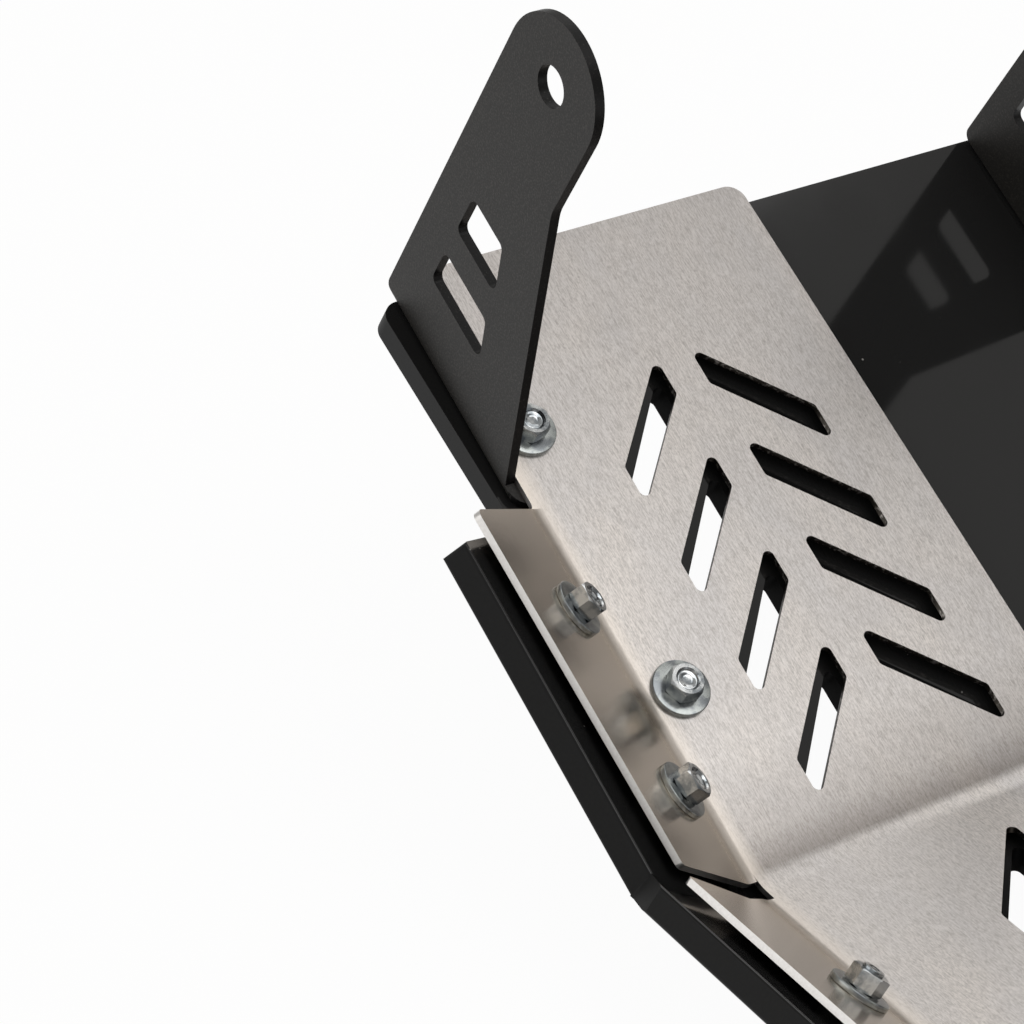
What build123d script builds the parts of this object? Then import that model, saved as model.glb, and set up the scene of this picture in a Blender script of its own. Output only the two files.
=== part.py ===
from build123d import *
import os
from math import cos, radians, sin, tan

# Motorcycle skid plate: a moulded shell lined with a folded aluminium sheet, and two frame brackets.
# Millimetres. +Z is up, +Y is forward and +X is the right of the photograph.
# The origin is the middle of the flat underside. The front panel rises forward from the bend.

# Shell
BEND_ANGLE = 30.0
FLOOR_LENGTH = 300.0
FRONT_LENGTH = 198.3
SHELL_THICKNESS = 8.0
SHELL_BEND_RADIUS = 11.0
SHELL_FOLD_RADIUS = 6.0
FOLD_ANGLE = 39.0
FRONT_WALL_WIDTH = 49.5
FLOOR_WALL_WIDTH = 52.9
WALL_STEP_DISTANCE = 15.0
WALL_TOP_V = 117.8
WALL_TOP_DROP = 9.3
WALL_TOP_START = 6.0
WALL_REAR_SLOPE_LENGTH = 34.0
WALL_REAR_SLOPE_DROP = 22.0
WALL_CORNER = 1.8
WALL_REAR_CORNER = 12.0
EDGE_ROUND = 1.0
SHELL_EDGE_TOP_MARGIN = 5.2
SHELL_EDGE_LOW_MARGIN = 2.0
SHELL_TOP_CORNER = 5.5

# Aluminium sheet
SHEET_THICKNESS = 2.0
SHEET_GAP = 3.0
SHEET_TOP_V = 203.0
SHEET_FOLD_CLEARANCE = 0.6
SHEET_FOLD_RADIUS = 6.0
SHEET_BEND_RADIUS = 15.0
SHEET_EDGE_CLEARANCE = 0.2
SHEET_BEND_WIDTH = 122.8
SHEET_TOP_WIDTH = 120.3
SHEET_FLOOR_WIDTH = 150.4
SHEET_FLARE_LENGTH = 30.0
SHEET_TOP_CORNER = 5.5
SHEET_REAR_CORNER = 8.0
SHEET_RELIEF_RADIUS = 2.2
SHEET_FLOOR_END = 264.0

# Flanges of the sheet, widths measured across the flange from the fold line
FLANGE_TOP_V = 121.7
FLANGE_TOP_DROP = 5.3
FLANGE_TOP_WIDTH = 41.0
FLANGE_NOTCH_WIDTH = 37.9
FLANGE_NOTCH_V = 6.4
FLANGE_ROOT_V = 1.0
FLOOR_FLANGE_ROOT_DISTANCE = 6.6
FLOOR_FLANGE_NECK_DISTANCE = 11.6
FLOOR_FLANGE_NECK_WIDTH = 14.0
FLOOR_FLANGE_NOTCH_DISTANCE = 13.8
FLOOR_FLANGE_WIDTH = 43.6
FLOOR_FLANGE_END_WIDTH = 38.0
FLOOR_FLANGE_END_DISTANCE = 252.0
FLOOR_FLANGE_END_DROP = 10.0
FLANGE_CORNER = 1.5
FLANGE_TOP_CORNER = 3.0

# Slanted slots in the sheet and the shell
SLOT_INNER = 6.0
SLOT_OUTER = 34.4
SLOT_WIDTH = 13.05
SLOT_CORNER = 1.8
SLOT_PITCH = 32.5
SHEET_SLOT_SLOPE = 1.05
SHELL_SLOT_SLOPE = 1.11
SHELL_SLOT_PITCH = 32.9
FRONT_SLOT_AXIS_INSET = 67.05
FRONT_SLOT_V = 155.45
FRONT_SLOT_ROWS = 4
SHELL_FRONT_SLOT_DROP = 4.3
FLOOR_SLOT_AXIS_INSET = 83.4
FLOOR_SLOT_DISTANCE = 13.2
FLOOR_SLOT_ROWS = 6
SHELL_FLOOR_SLOT_DROP = 3.3

# Brackets
BRACKET_SPREAD = 218.0
BRACKET_THICKNESS = 3.0
BRACKET_BEND_RADIUS = 2.4
LEFT_REAR_V = 203.8
RIGHT_REAR_V = 200.1
BRACKET_FRONT_V = 164.1
BRACKET_TOP_HEIGHT = 112.4
BRACKET_BLEND_HEIGHT = 84.5
BRACKET_TIP_V = 131.1
BRACKET_BLEND_RADIUS = 12.0
BRACKET_HEEL_RADIUS = 3.2
BRACKET_HEEL_LIFT = 1.2
BRACKET_BORE_V = 184.0
BRACKET_BORE_HEIGHT = 113.1
BRACKET_BORE_RADIUS = 5.8
WINDOW_REAR_V = 190.0
LOWER_WINDOW_BASE_HEIGHT = 18.9
LOWER_WINDOW_HEIGHT = 12.8
LOWER_WINDOW_MARGIN = 21.5
UPPER_WINDOW_BASE_HEIGHT = 42.2
UPPER_WINDOW_HEIGHT = 14.8
UPPER_WINDOW_MARGIN = 19.2
WINDOW_CORNER = 2.4
LEFT_FOOT_LOW_V = 124.1
LEFT_FOOT_HIGH_V = 176.0
LEFT_FOOT_WIDTH = 22.5
RIGHT_FOOT_LOW_V = 97.5
RIGHT_FOOT_HIGH_V = 161.5
RIGHT_FOOT_WIDTH = 23.0
RIGHT_FOOT_SLANT = 29.0
FOOT_CORNER = 3.0
LEFT_FOOT_FRONT_CORNER = 7.0
RIGHT_FOOT_FRONT_CORNER = 3.0
FOOT_WALL_CLEARANCE = 1.0

# Fasteners: M6 countersunk bolts, large washers, lock nuts and spacer rings
BOLT_RADIUS = 3.0
BOLT_HEAD_RADIUS = 6.0
BOLT_HEAD_HEIGHT = 3.0
BOLT_LENGTH = 22.0
FOOT_BOLT_LENGTH = 20.0
SOCKET_RADIUS = 2.31
SOCKET_DEPTH = 1.8
BOLT_END_CHAMFER = 0.6
BOLT_CLEARANCE = 0.3
WASHER_RADIUS = 9.0
WASHER_THICKNESS = 1.6
WASHER_CLEARANCE = 0.2
NUT_FLATS = 10.0
NUT_HEX_HEIGHT = 4.8
NUT_COLLAR_RADIUS = 4.4
NUT_HEIGHT = 6.4
NUT_COLLAR_ROUND = 0.6
THREAD_CLEARANCE = 0.05
SPACER_RADIUS = 6.0

# Fastener places: X across, V up the front panel, DISTANCE back along the floor, W across a flange
LEFT_FOOT_BOLT_INSET = 13.8
LEFT_FOOT_BOLT_V = 145.3
LEFT_FOOT_BOLT_PITCH = 18.6
RIGHT_FOOT_BOLT_INSET = 14.3
RIGHT_FOOT_BOLT_V = 127.0
RIGHT_FOOT_BOLT_PITCH = 19.3
FRONT_PANEL_BOLT_INSET = 11.2
FRONT_PANEL_BOLT_V = 58.2
FRONT_FLANGE_UPPER_V = 87.1
FRONT_FLANGE_LOWER_V = 29.3
FRONT_FLANGE_BOLT_W = 12.2
FLOOR_FLANGE_BOLT_DISTANCE = 54.9
FLOOR_FLANGE_BOLT_W = 13.2
FLOOR_FLANGE_BOLTS = 4
FLOOR_BOLT_PITCH = 58.4
FLOOR_RIGHT_BOLT_INSET = 12.0
FLOOR_RIGHT_BOLTS = 3

# Rear mounting holes of the shell
REAR_HOLE_RADIUS = 4.3
REAR_HOLE_SPACING = 160.0
REAR_HOLE_FROM_END = 16.0

# Derived sizes
STACK = SHEET_THICKNESS + SHEET_GAP + SHELL_THICKNESS
BEND_Y = FLOOR_LENGTH / 2
HALF_FOLD_TAN = tan(radians(FOLD_ANGLE / 2))
HALF_BEND_TAN = tan(radians(BEND_ANGLE / 2))
SHELL_INNER_DEPTH = SHEET_THICKNESS + SHEET_GAP
FOLD_TANGENT = SHEET_FOLD_RADIUS * HALF_FOLD_TAN
BEND_TANGENT = SHEET_BEND_RADIUS * HALF_BEND_TAN
BRACKET_OUTER_X = BRACKET_SPREAD / 2
BRACKET_INNER_X = BRACKET_OUTER_X - BRACKET_THICKNESS
SHEET_FOLD_X = BRACKET_INNER_X - SHEET_FOLD_CLEARANCE
SHEET_FLAT_X = SHEET_FOLD_X - FOLD_TANGENT
SHEET_RIGHT_AT_BEND = SHEET_BEND_WIDTH - SHEET_FOLD_X
SHEET_RIGHT_AT_TOP = SHEET_TOP_WIDTH - SHEET_FOLD_X
SHEET_RIGHT_FLOOR = SHEET_FLOOR_WIDTH - SHEET_FOLD_X
FRONT_SLOT_AXIS_X = FRONT_SLOT_AXIS_INSET - SHEET_FOLD_X
FLOOR_SLOT_AXIS_X = FLOOR_SLOT_AXIS_INSET - SHEET_FOLD_X
SHELL_EDGE_TOP_X = BRACKET_OUTER_X + SHELL_EDGE_TOP_MARGIN
SHELL_EDGE_LOW_X = BRACKET_OUTER_X + SHELL_EDGE_LOW_MARGIN
LEFT_FOOT_BOLT_X = BRACKET_OUTER_X - LEFT_FOOT_BOLT_INSET
RIGHT_FOOT_BOLT_X = BRACKET_OUTER_X - RIGHT_FOOT_BOLT_INSET
FRONT_PANEL_BOLT_X = SHEET_FOLD_X - FRONT_PANEL_BOLT_INSET
FLOOR_RIGHT_BOLT_X = SHEET_RIGHT_FLOOR - FLOOR_RIGHT_BOLT_INSET
SHEET_EDGE_X = BRACKET_INNER_X - SHEET_EDGE_CLEARANCE
SHELL_FOLD_X = SHEET_FOLD_X + SHELL_INNER_DEPTH * HALF_FOLD_TAN
SHELL_FOLD_TANGENT = SHELL_FOLD_RADIUS * HALF_FOLD_TAN
# The walls' top edges, measured across from the sheet's fold line like the flanges
FRONT_WALL_REACH = FRONT_WALL_WIDTH - SHELL_INNER_DEPTH * HALF_FOLD_TAN
FLOOR_WALL_REACH = FLOOR_WALL_WIDTH - SHELL_INNER_DEPTH * HALF_FOLD_TAN
BEYOND_WALL = FLOOR_WALL_REACH * 2
FLOOR_WALL_START = (FRONT_WALL_WIDTH * sin(radians(FOLD_ANGLE)) - SHELL_INNER_DEPTH) * HALF_BEND_TAN
TRIM_DEPTH = SHELL_THICKNESS * 2

# Reference planes: the visible face of the sheet on the floor and on the front panel.
# On both, local x is across to the right and local y runs forward or up the panel.
UP = Vector(0, 0, 1)
FORWARD = Vector(0, 1, 0)
ACROSS = Vector(1, 0, 0)
PANEL_NORMAL = Vector(0, -sin(radians(BEND_ANGLE)), cos(radians(BEND_ANGLE)))
MITRE_NORMAL = Vector(0, cos(radians(BEND_ANGLE / 2)), sin(radians(BEND_ANGLE / 2)))
BEND_POINT = Vector(0, BEND_Y, STACK)
FLOOR = Plane(origin=BEND_POINT, x_dir=ACROSS, z_dir=UP)
FRONT = Plane(origin=BEND_POINT, x_dir=ACROSS, z_dir=PANEL_NORMAL)
MITRE = Plane(origin=BEND_POINT, x_dir=ACROSS, z_dir=MITRE_NORMAL)


def flange_plane(panel, side):
    """Inner face of a leaning flange: local x runs along the fold, side 1 is right and -1 is left.

    Local y runs out across the flange on the left, and the other way on the right.
    """
    lean = radians(FOLD_ANGLE)
    normal = panel.x_dir * (-side * sin(lean)) + panel.z_dir * cos(lean)
    origin = panel.from_local_coords(Vector(side * SHEET_FOLD_X, 0, 0))
    return Plane(origin=origin, x_dir=panel.y_dir, z_dir=normal)


def section_plane(panel, along):
    """Plane across a panel at a distance along it: local x is across and local y is the panel's normal."""
    origin = panel.from_local_coords(Vector(0, along, 0))
    return Plane(origin=origin, x_dir=panel.x_dir, z_dir=panel.y_dir * -1)


FRONT_FLANGE = flange_plane(FRONT, -1)
FLOOR_FLANGE = flange_plane(FLOOR, -1)


def draw_outline(*points):
    """Draw a closed straight-sided face in the open sketch."""
    Polygon(*points, align=None)


def corners_near(sketch, *spots):
    """Corners of an open sketch nearest to the given local spots."""
    return [sketch.vertices().sort_by_distance(Vector(*spot))[0] for spot in spots]


def draw_arc_strip(centre_x, centre_y, radius, thickness, start, sweep):
    """Draw the section of a bend: the band between an inner arc and a parallel outer one."""
    centre = Vector(centre_x, centre_y)
    with BuildLine() as strip:
        inner = CenterArc(centre, radius, start, sweep)
        outer = CenterArc(centre, radius + thickness, start, sweep)
        Line(inner @ 0, outer @ 0)
        Line(inner @ 1, outer @ 1)
    make_face(strip.edges())


def draw_corner_web(corner_x, corner_y, inward, radius):
    """Draw what rounding takes off a lower corner; inward is 1 for a left corner and -1 for a right one."""
    corner = Vector(corner_x, corner_y)
    with BuildLine() as web:
        rounding = CenterArc(corner + Vector(inward * radius, radius), radius, 225 - inward * 45, 90)
        Line(rounding @ 0, corner)
        Line(corner, rounding @ 1)
    make_face(web.edges())


def cut_slots(panel, depth_from, depth, axis_x, first, pitch, rows, slope):
    """Cut rows of slanted slots that fall away on both sides of a middle line.

    Local y of the first row's upper inner corner is first, and each row is a pitch further down.
    """
    fall = (SLOT_OUTER - SLOT_INNER) * slope
    with BuildSketch(panel.offset(depth_from)) as slots:
        for row in range(rows):
            top = first - row * pitch
            for side in (-1, 1):
                near = axis_x + side * SLOT_INNER
                far = axis_x + side * SLOT_OUTER
                draw_outline(
                    (near, top),
                    (far, top - fall),
                    (far, top - fall - SLOT_WIDTH),
                    (near, top - SLOT_WIDTH),
                )
        fillet(slots.vertices(), SLOT_CORNER)
    extrude(slots.sketch, amount=-depth, mode=Mode.SUBTRACT)


def seat_plane(panel, x, y):
    """Plane on the shell's outer face under a fastener, with z along the bolt towards the nut."""
    origin = panel.from_local_coords(Vector(x, y, -STACK))
    return Plane(origin=origin, x_dir=panel.x_dir, z_dir=panel.z_dir)


def drill_clearance(seats, from_height, depth):
    """Cut plain bolt holes through a layer that starts at a height above the seats."""
    radius = BOLT_RADIUS + BOLT_CLEARANCE
    for seat in seats:
        with Locations(seat.offset(from_height).location):
            Cylinder(radius, depth, align=(Align.CENTER, Align.CENTER, Align.MIN), mode=Mode.SUBTRACT)


def drill_countersunk(seats):
    """Cut bolt holes with head recesses into the shell's outer face."""
    drill_clearance(seats, 0, SHELL_THICKNESS)
    for seat in seats:
        with Locations(seat.location):
            Cone(
                BOLT_HEAD_RADIUS,
                BOLT_HEAD_RADIUS - BOLT_HEAD_HEIGHT,
                BOLT_HEAD_HEIGHT,
                align=(Align.CENTER, Align.CENTER, Align.MIN),
                mode=Mode.SUBTRACT,
            )


def build_bolts(seats, length, label):
    """Countersunk bolts with a hexagon socket in the head, one solid to each seat."""
    with BuildPart() as bolts:
        for seat in seats:
            with Locations(seat.location):
                Cone(
                    BOLT_HEAD_RADIUS,
                    BOLT_HEAD_RADIUS - BOLT_HEAD_HEIGHT,
                    BOLT_HEAD_HEIGHT,
                    align=(Align.CENTER, Align.CENTER, Align.MIN),
                )
                Cylinder(
                    BOLT_RADIUS,
                    length - BOLT_END_CHAMFER,
                    align=(Align.CENTER, Align.CENTER, Align.MIN),
                )
            with Locations(seat.offset(length - BOLT_END_CHAMFER).location):
                Cone(
                    BOLT_RADIUS,
                    BOLT_RADIUS - BOLT_END_CHAMFER,
                    BOLT_END_CHAMFER,
                    align=(Align.CENTER, Align.CENTER, Align.MIN),
                )
            with BuildSketch(seat):
                RegularPolygon(SOCKET_RADIUS, 6)
            extrude(amount=SOCKET_DEPTH, mode=Mode.SUBTRACT)
    bolts.part.label = label
    return bolts.part


def build_rings(seats, height, outer_radius, clearance, thickness, label):
    """Washers or spacers: flat rings round the bolts at a height above the seats."""
    with BuildPart() as rings:
        for seat in seats:
            with BuildSketch(seat.offset(height)):
                Circle(outer_radius)
                Circle(BOLT_RADIUS + clearance, mode=Mode.SUBTRACT)
            extrude(amount=thickness)
    rings.part.label = label
    return rings.part


def build_nuts(seats, height, label):
    """Lock nuts: a hexagon under a round collar, bored to the bolt's thread."""
    with BuildPart() as nuts:
        for seat in seats:
            with BuildSketch(seat.offset(height)):
                RegularPolygon(NUT_FLATS / 2, 6, major_radius=False)
                Circle(BOLT_RADIUS + THREAD_CLEARANCE, mode=Mode.SUBTRACT)
            extrude(amount=NUT_HEX_HEIGHT)
            with BuildSketch(seat.offset(height + NUT_HEX_HEIGHT)):
                Circle(NUT_COLLAR_RADIUS)
                Circle(BOLT_RADIUS + THREAD_CLEARANCE, mode=Mode.SUBTRACT)
            extrude(amount=NUT_HEIGHT - NUT_HEX_HEIGHT - NUT_COLLAR_ROUND)
            with BuildSketch(seat.offset(height + NUT_HEIGHT - NUT_COLLAR_ROUND)):
                Circle(NUT_COLLAR_RADIUS)
            with BuildSketch(seat.offset(height + NUT_HEIGHT)):
                Circle(NUT_COLLAR_RADIUS - NUT_COLLAR_ROUND)
            loft()
            with BuildSketch(seat.offset(height)):
                Circle(BOLT_RADIUS + THREAD_CLEARANCE)
            extrude(amount=NUT_HEIGHT, mode=Mode.SUBTRACT)
    nuts.part.label = label
    return nuts.part


# Fastener seats
left_foot_seats = [
    seat_plane(FRONT, -LEFT_FOOT_BOLT_X, LEFT_FOOT_BOLT_V + step * LEFT_FOOT_BOLT_PITCH)
    for step in range(2)
]
right_foot_seats = [
    seat_plane(FRONT, RIGHT_FOOT_BOLT_X, RIGHT_FOOT_BOLT_V - step * RIGHT_FOOT_BOLT_PITCH)
    for step in range(2)
]
front_panel_seats = [seat_plane(FRONT, -FRONT_PANEL_BOLT_X, FRONT_PANEL_BOLT_V)]
front_flange_seats = [
    seat_plane(FRONT_FLANGE, along, FRONT_FLANGE_BOLT_W)
    for along in (FRONT_FLANGE_UPPER_V, FRONT_FLANGE_LOWER_V)
]
floor_flange_seats = [
    seat_plane(FLOOR_FLANGE, -FLOOR_FLANGE_BOLT_DISTANCE - step * FLOOR_BOLT_PITCH, FLOOR_FLANGE_BOLT_W)
    for step in range(FLOOR_FLANGE_BOLTS)
]
floor_right_step = FLOOR_BOLT_PITCH * (FLOOR_FLANGE_BOLTS - 1) / (FLOOR_RIGHT_BOLTS - 1)
floor_right_seats = [
    seat_plane(FLOOR, FLOOR_RIGHT_BOLT_X, -FLOOR_FLANGE_BOLT_DISTANCE - step * floor_right_step)
    for step in range(FLOOR_RIGHT_BOLTS)
]
lining_seats = front_panel_seats + front_flange_seats + floor_flange_seats + floor_right_seats
sheet_seats = lining_seats + left_foot_seats
shell_seats = sheet_seats + right_foot_seats


# Shell: a trough section run along the floor and up the front panel, joined on a mitre at the bend
def draw_trough(section, wall_width):
    """Draw the shell's section in the open sketch: flat middle, two leaning walls and rounded folds."""
    lean = radians(FOLD_ANGLE)
    outer_fold_x = SHELL_FOLD_X + SHELL_THICKNESS * HALF_FOLD_TAN
    top_x = SHELL_FOLD_X + wall_width * cos(lean)
    top_y = wall_width * sin(lean) - SHELL_INNER_DEPTH
    rim_x = top_x + SHELL_THICKNESS * sin(lean)
    rim_y = top_y - SHELL_THICKNESS * cos(lean)
    half = [
        (SHELL_FOLD_X, -SHELL_INNER_DEPTH),
        (top_x, top_y),
        (rim_x, rim_y),
        (outer_fold_x, -STACK),
    ]
    mirrored = [(-x, y) for x, y in reversed(half)]
    draw_outline(*half, *mirrored)
    inner_folds = corners_near(
        section, (SHELL_FOLD_X, -SHELL_INNER_DEPTH), (-SHELL_FOLD_X, -SHELL_INNER_DEPTH)
    )
    fillet(inner_folds, SHELL_FOLD_RADIUS)
    outer_folds = corners_near(section, (outer_fold_x, -STACK), (-outer_fold_x, -STACK))
    fillet(outer_folds, SHELL_FOLD_RADIUS + SHELL_THICKNESS)
    rims = corners_near(section, (top_x, top_y), (-top_x, top_y), (rim_x, rim_y), (-rim_x, rim_y))
    fillet(rims, EDGE_ROUND)


with BuildPart() as floor_stretch:
    with BuildSketch(section_plane(FLOOR, SHELL_BEND_RADIUS * 2)) as floor_section:
        draw_trough(floor_section, FLOOR_WALL_WIDTH)
    extrude(amount=FLOOR_LENGTH + SHELL_BEND_RADIUS * 2)
    split(bisect_by=MITRE, keep=Keep.BOTTOM)
    for side in (-1, 1):
        rear_start = (WALL_REAR_SLOPE_LENGTH - FLOOR_LENGTH, -side * FLOOR_WALL_REACH)
        rear_end = (-FLOOR_LENGTH, -side * (FLOOR_WALL_REACH - WALL_REAR_SLOPE_DROP))
        with BuildSketch(flange_plane(FLOOR, side).offset(TRIM_DEPTH / 2)) as wall_trim:
            draw_outline(
                (0, -side * BEYOND_WALL),
                (0, -side * FRONT_WALL_REACH),
                (-FLOOR_WALL_START, -side * FRONT_WALL_REACH),
                (-WALL_STEP_DISTANCE, -side * FLOOR_WALL_REACH),
                rear_start,
                rear_end,
                (-FLOOR_LENGTH, 0),
                (-FLOOR_LENGTH * 2, 0),
                (-FLOOR_LENGTH * 2, -side * BEYOND_WALL),
            )
            fillet(corners_near(wall_trim, rear_start, rear_end), WALL_REAR_CORNER)
        extrude(amount=-STACK - TRIM_DEPTH, mode=Mode.SUBTRACT)

with BuildPart() as front_stretch:
    with BuildSketch(section_plane(FRONT, WALL_TOP_V)) as front_section:
        draw_trough(front_section, FRONT_WALL_WIDTH)
    extrude(amount=WALL_TOP_V + SHELL_BEND_RADIUS * 2)
    split(bisect_by=MITRE, keep=Keep.TOP)

with BuildPart() as skid_shell:
    add(floor_stretch.part)
    add(front_stretch.part)
    with BuildSketch(FRONT.offset(-SHELL_INNER_DEPTH)) as top_plate:
        draw_outline(
            (-SHELL_EDGE_LOW_X, WALL_TOP_V),
            (SHELL_EDGE_LOW_X, WALL_TOP_V),
            (SHELL_EDGE_TOP_X, FRONT_LENGTH),
            (-SHELL_EDGE_TOP_X, FRONT_LENGTH),
        )
        top_corners = corners_near(
            top_plate, (SHELL_EDGE_TOP_X, FRONT_LENGTH), (-SHELL_EDGE_TOP_X, FRONT_LENGTH)
        )
        fillet(top_corners, SHELL_TOP_CORNER)
    extrude(amount=-SHELL_THICKNESS)
    for side in (-1, 1):
        top_corner = (WALL_TOP_V - WALL_TOP_DROP, -side * FRONT_WALL_REACH)
        with BuildSketch(flange_plane(FRONT, side).offset(TRIM_DEPTH / 2)) as top_trim:
            draw_outline(
                (WALL_TOP_V, -side * WALL_TOP_START),
                top_corner,
                (WALL_TOP_V / 2, -side * FRONT_WALL_REACH),
                (WALL_TOP_V / 2, -side * BEYOND_WALL),
                (FRONT_LENGTH, -side * BEYOND_WALL),
                (FRONT_LENGTH, -side * WALL_TOP_START),
            )
            fillet(corners_near(top_trim, top_corner), WALL_CORNER)
        extrude(amount=-STACK - TRIM_DEPTH, mode=Mode.SUBTRACT)
    cut_slots(
        FRONT,
        -SHELL_INNER_DEPTH,
        SHELL_THICKNESS,
        FRONT_SLOT_AXIS_X,
        FRONT_SLOT_V - SHELL_FRONT_SLOT_DROP,
        SHELL_SLOT_PITCH,
        FRONT_SLOT_ROWS,
        SHELL_SLOT_SLOPE,
    )
    cut_slots(
        FLOOR,
        -SHELL_INNER_DEPTH,
        SHELL_THICKNESS,
        FLOOR_SLOT_AXIS_X,
        -FLOOR_SLOT_DISTANCE - SHELL_FLOOR_SLOT_DROP,
        SLOT_PITCH,
        FLOOR_SLOT_ROWS,
        SHEET_SLOT_SLOPE,
    )
    drill_countersunk(shell_seats)
    with BuildSketch(FLOOR.offset(-SHELL_INNER_DEPTH)):
        with Locations((0, REAR_HOLE_FROM_END - FLOOR_LENGTH)):
            with GridLocations(REAR_HOLE_SPACING, 1, 2, 1):
                Circle(REAR_HOLE_RADIUS)
    extrude(amount=-SHELL_THICKNESS, mode=Mode.SUBTRACT)

# Sheet: front panel, floor and the two bends, then a flange on the left of each
with BuildPart() as inner_sheet:
    with BuildSketch(FRONT) as front_sheet:
        draw_outline(
            (-SHEET_FLAT_X, BEND_TANGENT),
            (SHEET_RIGHT_AT_BEND, BEND_TANGENT),
            (SHEET_RIGHT_AT_TOP, SHEET_TOP_V),
            (-SHEET_EDGE_X, SHEET_TOP_V),
            (-SHEET_EDGE_X, FLANGE_TOP_V),
            (-SHEET_FLAT_X, FLANGE_TOP_V),
        )
        fillet(corners_near(front_sheet, (SHEET_RIGHT_AT_TOP, SHEET_TOP_V)), SHEET_TOP_CORNER)
    extrude(amount=-SHEET_THICKNESS)
    with BuildSketch(FRONT):
        draw_corner_web(-SHEET_EDGE_X, FLANGE_TOP_V, -1, SHEET_RELIEF_RADIUS)
    extrude(amount=-SHEET_THICKNESS)
    with BuildSketch(FLOOR) as floor_sheet:
        draw_outline(
            (-SHEET_FLAT_X, -BEND_TANGENT),
            (SHEET_RIGHT_AT_BEND, -BEND_TANGENT),
            (SHEET_RIGHT_FLOOR, -BEND_TANGENT - SHEET_FLARE_LENGTH),
            (SHEET_RIGHT_FLOOR, -SHEET_FLOOR_END),
            (-SHEET_FLAT_X, -SHEET_FLOOR_END),
        )
        rear_corners = corners_near(
            floor_sheet,
            (SHEET_RIGHT_FLOOR, -BEND_TANGENT - SHEET_FLARE_LENGTH),
            (SHEET_RIGHT_FLOOR, -SHEET_FLOOR_END),
            (-SHEET_FLAT_X, -SHEET_FLOOR_END),
        )
        fillet(rear_corners, SHEET_REAR_CORNER)
    extrude(amount=-SHEET_THICKNESS)
    with BuildSketch(Plane(origin=BEND_POINT - ACROSS * SHEET_FLAT_X, x_dir=FORWARD, z_dir=ACROSS)):
        draw_arc_strip(
            -BEND_TANGENT, SHEET_BEND_RADIUS, SHEET_BEND_RADIUS, SHEET_THICKNESS, -90, BEND_ANGLE
        )
    extrude(amount=SHEET_FLAT_X + SHEET_RIGHT_AT_BEND)
    with BuildSketch(section_plane(FRONT, FLANGE_TOP_V)):
        draw_arc_strip(
            -SHEET_FLAT_X,
            SHEET_FOLD_RADIUS,
            SHEET_FOLD_RADIUS,
            SHEET_THICKNESS,
            -90 - FOLD_ANGLE,
            FOLD_ANGLE,
        )
    extrude(amount=FLANGE_TOP_V - FLANGE_ROOT_V)
    with BuildSketch(FRONT_FLANGE) as front_flange:
        draw_outline(
            (FLANGE_ROOT_V, FOLD_TANGENT),
            (FLANGE_NOTCH_V, FLANGE_NOTCH_WIDTH),
            (FLANGE_TOP_V - FLANGE_TOP_DROP, FLANGE_TOP_WIDTH),
            (FLANGE_TOP_V, FOLD_TANGENT),
        )
        fillet(corners_near(front_flange, (FLANGE_NOTCH_V, FLANGE_NOTCH_WIDTH)), FLANGE_CORNER)
        flange_top = corners_near(front_flange, (FLANGE_TOP_V - FLANGE_TOP_DROP, FLANGE_TOP_WIDTH))
        fillet(flange_top, FLANGE_TOP_CORNER)
    extrude(amount=-SHEET_THICKNESS)
    with BuildSketch(section_plane(FLOOR, -FLOOR_FLANGE_ROOT_DISTANCE)):
        draw_arc_strip(
            -SHEET_FLAT_X,
            SHEET_FOLD_RADIUS,
            SHEET_FOLD_RADIUS,
            SHEET_THICKNESS,
            -90 - FOLD_ANGLE,
            FOLD_ANGLE,
        )
    extrude(amount=FLOOR_FLANGE_END_DISTANCE - FLOOR_FLANGE_ROOT_DISTANCE)
    with BuildSketch(FLOOR_FLANGE) as floor_flange:
        draw_outline(
            (-FLOOR_FLANGE_ROOT_DISTANCE, FOLD_TANGENT),
            (-FLOOR_FLANGE_NECK_DISTANCE, FLOOR_FLANGE_NECK_WIDTH),
            (-FLOOR_FLANGE_NOTCH_DISTANCE, FLOOR_FLANGE_WIDTH),
            (FLOOR_FLANGE_END_DROP - FLOOR_FLANGE_END_DISTANCE, FLOOR_FLANGE_END_WIDTH),
            (-FLOOR_FLANGE_END_DISTANCE, FOLD_TANGENT),
        )
        floor_flange_corners = corners_near(
            floor_flange,
            (-FLOOR_FLANGE_NOTCH_DISTANCE, FLOOR_FLANGE_WIDTH),
            (FLOOR_FLANGE_END_DROP - FLOOR_FLANGE_END_DISTANCE, FLOOR_FLANGE_END_WIDTH),
        )
        fillet(floor_flange_corners, FLANGE_CORNER)
    extrude(amount=-SHEET_THICKNESS)
    cut_slots(
        FRONT,
        0,
        SHEET_THICKNESS,
        FRONT_SLOT_AXIS_X,
        FRONT_SLOT_V,
        SLOT_PITCH,
        FRONT_SLOT_ROWS,
        SHEET_SLOT_SLOPE,
    )
    cut_slots(
        FLOOR,
        0,
        SHEET_THICKNESS,
        FLOOR_SLOT_AXIS_X,
        -FLOOR_SLOT_DISTANCE,
        SLOT_PITCH,
        FLOOR_SLOT_ROWS,
        SHEET_SLOT_SLOPE,
    )
    drill_clearance(sheet_seats, SHELL_THICKNESS + SHEET_GAP, SHEET_THICKNESS)


# Brackets
def side_plane(x):
    """Plane across the part at x: local x runs up the front panel and local y away from it."""
    origin = FRONT.from_local_coords(Vector(x, 0, 0))
    return Plane(origin=origin, x_dir=FRONT.y_dir, z_dir=ACROSS)


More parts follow.
